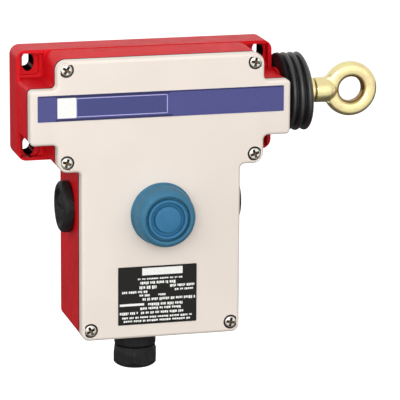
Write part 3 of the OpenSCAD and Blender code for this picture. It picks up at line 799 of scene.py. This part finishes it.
class SWITCH_OT_entry_plugs(Operator):
    """Entry plugs: heads whose outer side is a height field of rings with a tool slot across, and plain shanks"""

    bl_idname = "switch.entry_plugs"
    bl_label = "Entry plugs"

    def execute(self, context):
        for side, node in ((-1, "left_entry_plug"), (1, "right_entry_plug")):
            piece(node + "_head", self.plug(node, side), black_nylon(), "switch_body", [node], 45)
        return {"FINISHED"}

    def plug(self, node, side):
        """Rings of (radius, height) about the plug's axis, with a slot 2.6 mm wide and 1.8 mm deep inside the ring. The
        head stands on its seal, 0.6 mm off the column's side."""
        (_, y0, z0), (_, y1, z1) = box(node)
        big, y, z = (y1 - y0) / 2, (y0 + y1) / 2, (z0 + z1) / 2
        seat = side * (50.35 + 0.6)
        profile = softened(
            [(0, 5.2, 0), (big - 8.8, 5.1, 0.5), (big - 8.2, 3.7, 0.4), (big - 5.4, 4.1, 0.5), (big - 4.6, 6.1, 0.5),
             (big - 2.0, 6.1, 0.7), (big, 4.6, 1.2), (big, 0, 0.5), (THREAD, 0, 0), (THREAD, -8, 0.3),
             (THREAD - 1, -9, 0.2), (0, -9, 0)], 5
        )
        rows = [profile[0]]
        for a, b in zip(profile, profile[1:]):
            n = max(1, int(abs(b[0] - a[0]) / 0.7))
            rows += [a + (b - a) * k / n for k in range(1, n + 1)]
        r, h = np.array(rows).T[:, :, None]
        t = around(120)
        py, pz, ease = r * np.cos(t), r * np.sin(t), 0.35
        slot = np.clip((1.3 - np.abs(pz)) / ease + 0.5, 0, 1) * np.clip((big - 8.4 - np.abs(py)) / ease, 0, 1)
        h = h - np.where(h > 2, slot * 1.8, 0)
        return skin(np.stack([seat + side * h, y + py, z + pz], -1))


class SWITCH_OT_gland(Operator):
    """Cable gland: turned body, rubber seal and a hexagonal nut whose corners run out into turned ends"""

    bl_idname = "switch.gland"
    bl_label = "Cable gland"

    def execute(self, context):
        (x0, _, foot), (x1, _, top) = box("gland_body")
        across, bore = (x1 - x0) / 2, 7
        nut, washer = box("gland_nut")[1][2], box("gland_washer")[0][2]
        body = softened(
            [(bore, foot, 0), (bore, top, 0.2), (THREAD, top, 0.6), (THREAD, washer, 0), (across - 0.2, washer, 0.6),
             (across, washer - 2, 0.8), (across, nut + 1.2, 0.8), (across - 1, nut + 0.3, 0.3), (THREAD, nut + 0.3, 0),
             (THREAD, foot, 0.3), (bore, foot, 0)]
        )
        piece("gland_collar", turned(body, GLAND_LINE), black_nylon(), "switch_body", ["gland_body"])
        piece("gland_hexagon", self.nut(), black_nylon(), "switch_body", ["gland_nut"], 42)
        foot, top = box("gland_seal")[:, 2]
        inner, neck, outer = 5.6, 6.9, 9.6
        seal = softened(
            [(inner, foot, 0), (inner, top, 0.3), (neck, top, 0.2), (neck, top - 6.1, 0), (outer, top - 6.1, 0.2),
             (outer, foot, 0.3), (inner, foot, 0.6), (inner, foot + 0.7, 0)]
        )
        seal[0] = seal[-1]
        piece("cable_seal", turned(seal, GLAND_LINE), black_rubber(), "switch_body", ["gland_seal"])
        return {"FINISHED"}

    def nut(self):
        """Outside radius at angle t and height z: the smaller of the hexagon's, flat / cos(t - nearest flat), cut off
        near its corners, and that of the turned ends; the bore is a plain turned wall, smaller than both."""
        foot, top = box("gland_nut")[:, 2]
        flat = 13.3  # half across the flats
        corner = flat / math.cos(math.pi / 6)
        t = around(180)
        phase = (t - math.radians(45) + math.pi / 6) % (math.pi / 3) - math.pi / 6
        hexagon = np.minimum(flat / np.cos(phase), corner - 0.25)
        ends = softened(
            [(flat - 0.5, top, 0), (corner + 0.1, top - 4.6, 0.6), (corner + 0.1, foot + 4.4, 1.4),
             (flat - 0.5, foot + 1, 1.4), (flat - 2.2, foot, 0)], 8
        )
        bore = [(7.2, foot), (7.2, foot + 3.6), (10.3, foot + 3.6), (10.3, top)]
        r, h = np.vstack([ends, bore]).T[:, :, None]
        r = np.minimum(r, hexagon)
        x, y = GLAND[:2]
        return skin(np.stack([x + r * np.cos(t), y + r * np.sin(t), np.broadcast_to(h, r.shape)], -1), closed=True)


class SWITCH_OT_bellows(Operator):
    """Bellows: a collar and round folds turned about the rope axis, each point at height z off it then drawn back by
    lean * (share of the folds' length)^1.5 * (share of the radius outside 11 mm) * z / R"""

    bl_idname = "switch.bellows"
    bl_label = "Bellows"

    def execute(self, context):
        folds, deep = context.scene.switch_sizes.folds, size("fold_depth")
        (x0, y0, _), (x1, y1, _) = box("bellows")
        big = (y1 - y0) / 2
        first, last = x0 + 3.2, x1 - 3.6
        # a fold's outside: R - depth + depth * sin(pi u)^0.75 across its pitch, u from 0 to 1
        u = np.tile(np.linspace(0.02, 0.98, 25), folds)
        number = np.repeat(np.arange(folds), 25)
        outside = big - deep + deep * np.sin(np.pi * u) ** 0.75
        ridge = np.stack([outside, first + (last - first) * (number + u) / folds], 1)
        neck, pocket, wall, rod = 15.6, 21.4, big - 4.5, 8.0
        collar = softened(
            [(neck, x0, 0), (big - 0.3, x0, 0.7), (big - 0.1, first - 1.0, 0.3), (big - deep, first, 0)]
        )
        nose = softened(
            [(*ridge[-1], 0), (big - 6.5, last + 1.2, 2.5), (11.4, last + 1.9, 1), (9.7, last + 2.3, 0.5),
             (9.3, x1, 0.4), (rod, x1, 0.3), (rod, last + 1, 0), (big - 8, last + 0.2, 1), (wall, last - 0.6, 0.5),
             (wall, x0 + 5.8, 0), (pocket, x0 + 5.8, 0), (pocket, x0 + 2.7, 0), (neck, x0 + 2.7, 0), (neck, x0, 0)]
        )
        points, faces = turned(np.vstack([collar, ridge, nose]), ROPE_LINE, 160)
        out = np.hypot(points[:, 1] - ROPE[1], points[:, 2] - ROPE[2])
        along, round_ = (points[:, 0] - first) / (last - first), (out - 11) / (big - 11)
        share = np.clip(along, 0, 1) ** 1.5 * np.clip(round_, 0, 1)
        points[:, 0] -= size("lean") * share * (points[:, 2] - ROPE[2]) / big
        rubber = finish("moulded rubber folds", bellows_rubber, tone("rubber"), first - 0.8)
        obj = piece("ribbed_bellows", (points, faces), rubber, None, ["bellows"], 55)
        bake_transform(obj)
        return {"FINISHED"}


class SWITCH_OT_eye(Operator):
    """Eye and ferrule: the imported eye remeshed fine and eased, so that ring, web and shank run together as forged"""

    bl_idname = "switch.eye"
    bl_label = "Rope eye"

    def execute(self, context):
        place, dims = mount("rope_eye")
        zinc = finish("yellow passivated zinc", yellow_zinc, tone("zinc"), (place[0], place[2]), dims["r_mm"])
        eye = welded_copy("eye", "forged_eye", 0)
        modifier(eye, "REMESH", mode="VOXEL", voxel_size=0.36 * MM)
        modifier(eye, "SMOOTH", factor=0.5, iterations=7)
        finish_piece(apply_modifiers(eye), zinc, "pull_head", ["eye"], 80)
        (x0, y0, _), (x1, y1, _) = box("eye_ferrule")
        big, bore = (y1 - y0) / 2, 4
        ring = softened(
            [(bore, x0, 0), (big - 0.7, x0, 0.2), (big, x0 + 0.7, 0.4), (big, x1 - 0.6, 0.4), (big - 0.5, x1, 0.2),
             (bore, x1, 0), (bore, x0, 0)]
        )
        piece("rolled_ferrule", turned(ring, ROPE_LINE), zinc, "pull_head", ["eye_ferrule"])
        return {"FINISHED"}


class SWITCH_OT_reset_button(Operator):
    """Reset button: a moulded boot with a soft shoulder, and the ringed cap in its rim"""

    bl_idname = "switch.reset_button"
    bl_label = "Reset button"

    def execute(self, context):
        # heights are off the cover's face until the profiles are turned; foot, bore and cap are radii
        (x0, crown, _), (x1, _, _) = box("reset_boot")
        foot, bore, top = (x1 - x0) / 2, 15.4, FACE_Y - crown
        cap = (box("reset_cap")[1][0] - box("reset_cap")[0][0]) / 2
        boot = softened(
            [(bore, 3.2, 0), (bore, 0, 0), (foot - 0.5, 0, 0), (foot, 0.6, 0.4), (foot, 1.8, 0.4),
             (foot - 1.2, 2.2, 0.25), (foot - 0.8, 5.5, 2.4), (foot - 1.2, top - 6, 2.6), (foot - 2.1, top - 2.2, 1.8),
             (foot - 4.2, top, 1.0), (cap + 1.7, top - 0.4, 0.4), (cap + 1.4, top - 3.6, 0.4), (cap, top - 3.6, 0),
             (cap, top - 4.3, 0), (foot - 4.4, top - 4.3, 0.3), (foot - 3.7, top - 5.1, 0.4), (foot - 2.6, 4.4, 0.5),
             (foot - 2.6, 3.2, 0), (bore, 3.2, 0)], 8
        )
        dome = softened(
            [(4, top - 6, 0), (4, top - 13.5, 0), (8, top - 13.5, 0.3), (8, top - 4.6, 0), (cap, top - 4.6, 0.2),
             (cap, top - 0.3, 0.7), (cap - 0.9, top + 0.05, 0.5), (cap - 1.7, top - 0.3, 0.4),
             (cap - 1.9, top - 3.2, 0.5), (cap - 3.8, top - 3.2, 0.5), (cap - 4.2, top - 0.1, 0.6),
             (cap - 6.5, top + 0.3, 1.5), (0, top + 0.45, 0)], 8
        )
        dome = np.vstack([[[0, top - 6]], dome])
        boot, dome = (turned(profile - [0, FACE_Y], BUTTON_LINE, 160) for profile in (boot, dome))
        blue = finish("moulded silicone blue", silicone, tone("silicone"))
        obj = piece("button_boot", boot, blue, None, ["reset_boot"], 55)
        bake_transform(obj)
        blue = finish("moulded cap blue", silicone, tone("cap"))
        piece("button_cap", dome, blue, "reset_button", ["reset_cap"], 55)
        return {"FINISHED"}


class SWITCH_OT_springs(Operator):
    """Springs: round wire on helices, for the rod and for the button"""

    bl_idname = "switch.springs"
    bl_label = "Springs"

    def execute(self, context):
        wire = finish("oiled spring wire", drawn_wire, "9a9da1")
        (x0, _, z0), (x1, _, _) = box("main_spring")
        main = coil(ROPE_LINE, 7.6, 2.4, x0, x1, 7.5)
        obj = piece("rod_spring", main, wire, None, ["main_spring"])
        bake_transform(obj)
        y0, y1 = box("reset_spring")[:, 1]
        small = coil(BUTTON_LINE, 6.1, 1.1, -y1, -y0, 4.5)
        obj = piece("button_spring", small, wire, None, ["reset_spring"])
        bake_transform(obj)
        return {"FINISHED"}


class SWITCH_OT_inner_works(Operator):
    """Inner works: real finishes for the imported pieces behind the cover"""

    bl_idname = "switch.inner_works"
    bl_label = "Inner works"

    def execute(self, context):
        made = {
            "plated_steel": finish("zinc plated steel", plated_steel, "c9c6bd", 0.26),
            "grey_steel": finish("oiled machined steel", plated_steel, "85878a", 0.34),
            "spring_steel": finish("oiled spring wire", drawn_wire, "9a9da1"),
            "bronze": finish("sintered bronze", bearing_bronze, "c39a55"),
            "terminal_brass": finish("bright brass", plated_steel, "cdb26a", 0.24),
            "dark_moulding": finish("black phenolic", engineering_plastic, "2b2b2f", 0.42),
            "white_acetal": finish("white acetal", engineering_plastic, "e6e2d8", 0.36),
            "black_rubber": black_rubber(),
        }
        slots = {s["node"]: s["material_slot"] for s in frame["record"]["subparts"]}
        for name, node in frame["nodes"].items():
            if slots[name] in made and not node.hide_render:
                paint(node, made[slots[name]])
        return {"FINISHED"}


# -------- stage


def softbox(name, place, target, width, watts):
    """A square area lamp that faces its target."""
    lamp = bpy.data.lights.new(name, "AREA")
    lamp.energy, lamp.size = watts, width
    facing = (Vector(target) - Vector(place)).to_track_quat("-Z", "Y")
    linked(name, lamp).matrix_world = Matrix.Translation(place) @ facing.to_matrix().to_4x4()


class SWITCH_OT_stage(Operator):
    """Stage: pale floor, white surroundings, four softboxes and the camera"""

    bl_idname = "switch.stage"
    bl_label = "Stage"

    def execute(self, context):
        scene, s = context.scene, context.scene.switch_stage
        scene.view_settings.view_transform = "Standard"
        self.floor(CAD_BOX[0][2] - s.drop)
        self.surroundings(scene, s.ambient)
        aim = (0.01, -0.03, -0.04)
        softbox("key", (-0.26, -0.95, 0.22), aim, 0.6, s.key)
        softbox("fill", (0.35, -1.9, 0.25), aim, 2.0, s.fill)
        softbox("side", (-1.3, -0.4, 0.1), aim, 0.8, s.side)
        softbox("top", (-0.1, -0.15, 1.2), aim, 0.8, s.top)
        self.camera(scene)
        return {"FINISHED"}

    def floor(self, z):
        """A level sheet 24 m wide that shows white, keeps the object's shadow and throws little light on the object.
        Metal mirrors it white in front of the object and shaded behind, which draws the edges of round pieces."""
        half = 12
        mesh = bpy.data.meshes.new("floor")
        corners = [(-half, -half, z), (half, -half, z), (half, half, z), (-half, half, z)]
        mesh.from_pydata(corners, [], [[0, 1, 2, 3]])
        obj = linked("floor", mesh)
        material = bpy.data.materials.new("white paper sweep")
        material.use_nodes = True
        tree = material.node_tree
        paper = add(tree, tree.nodes["Principled BSDF"], {"Base Color": rgba("f4f4f4"), "Roughness": 0.9})
        path = add(tree, "LightPath").outputs
        glow = add(tree, "Emission", {"Strength": 0.5})
        shown = add(tree, "AddShader", {0: paper, 1: glow})
        bounce = add(tree, "BsdfDiffuse", {"Color": rgba("707070")})
        place = add(tree, "TexCoord").outputs["Object"]
        away = add(tree, "SeparateXYZ", {0: place}).outputs["Y"]
        level = {"Value": away, "From Min": -0.42, "From Max": -0.24, "To Min": 1.0, "To Max": 0.15}
        mirror = add(tree, "Emission", {"Strength": add(tree, "MapRange", level)})
        unseen = add(tree, "MixShader", {0: path["Is Glossy Ray"], 1: bounce, 2: mirror})
        direct = {0: path["Is Camera Ray"], 1: path["Is Transmission Ray"]}
        direct = add(tree, "Math", direct, operation="MAXIMUM")
        total = add(tree, "MixShader", {0: direct, 1: unseen, 2: shown})
        add(tree, tree.nodes["Material Output"], {"Surface": total})
        paint(obj, material)

    def surroundings(self, scene, ambient):
        """A world that lights the object at one level, and shows and is mirrored white."""
        world = bpy.data.worlds.new("white studio")
        world.use_nodes = True
        tree = world.node_tree
        path = add(tree, "LightPath").outputs
        seen = path["Is Camera Ray"]
        for ray in ("Is Glossy Ray", "Is Transmission Ray"):
            seen = add(tree, "Math", {0: seen, 1: path[ray]}, operation="MAXIMUM")
        strength = add(tree, "MapRange", {"Value": seen, "To Min": ambient, "To Max": 1.0})
        add(tree, tree.nodes["Background"], {"Color": (1, 1, 1, 1), "Strength": strength})
        scene.world = world

    def camera(self, scene):
        """A long lens on the left and above: from its target, turned 14.9 degrees, tilted 13.75 degrees down and rolled
        0.38 degrees, then drawn back."""
        place, distance = Matrix.Translation((0.03034, -0.04, -0.0615)), 1.8727
        for degrees, axis in ((-14.9, "Z"), (90 - 13.75, "X"), (0.38, "Z")):
            place = place @ Matrix.Rotation(math.radians(degrees), 4, axis)
        data = bpy.data.cameras.new("camera")
        data.sensor_width, data.lens, data.clip_end = 36.0, 269.7, 60
        scene.camera = linked("camera", data)
        scene.camera.matrix_world = place @ Matrix.Translation((0, 0, distance))


PIECES = (
    SWITCH_OT_stage, SWITCH_OT_casting, SWITCH_OT_cover, SWITCH_OT_screws, SWITCH_OT_films, SWITCH_OT_entry_plugs,
    SWITCH_OT_gland, SWITCH_OT_bellows, SWITCH_OT_eye, SWITCH_OT_reset_button, SWITCH_OT_springs,
    SWITCH_OT_inner_works,
)


class VIEW3D_PT_switch(bpy.types.Panel):
    """Lists the pieces and their settings"""

    bl_label = "Rope Pull Switch"
    bl_idname = "VIEW3D_PT_switch"
    bl_space_type = "VIEW_3D"
    bl_region_type = "UI"
    bl_category = "Switch"

    def draw(self, context):
        for operator in PIECES:
            self.layout.operator(operator.bl_idname)
        for group in SETTINGS:
            settings = getattr(context.scene, group)
            rows = self.layout.box()
            for name in settings.__annotations__:
                rows.prop(settings, name)


CLASSES = (*SETTINGS.values(), *PIECES, VIEW3D_PT_switch)


def register():
    for item in CLASSES:
        bpy.utils.register_class(item)
    for name, group in SETTINGS.items():
        setattr(bpy.types.Scene, name, PointerProperty(type=group))


def unregister():
    for name in SETTINGS:
        delattr(bpy.types.Scene, name)
    for item in reversed(CLASSES):
        bpy.utils.unregister_class(item)


def main():
    """Builds every piece in order."""
    register()
    for operator in PIECES:
        group, name = operator.bl_idname.split(".")
        getattr(getattr(bpy.ops, group), name)()
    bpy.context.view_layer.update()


if __name__ == "__main__":
    main()
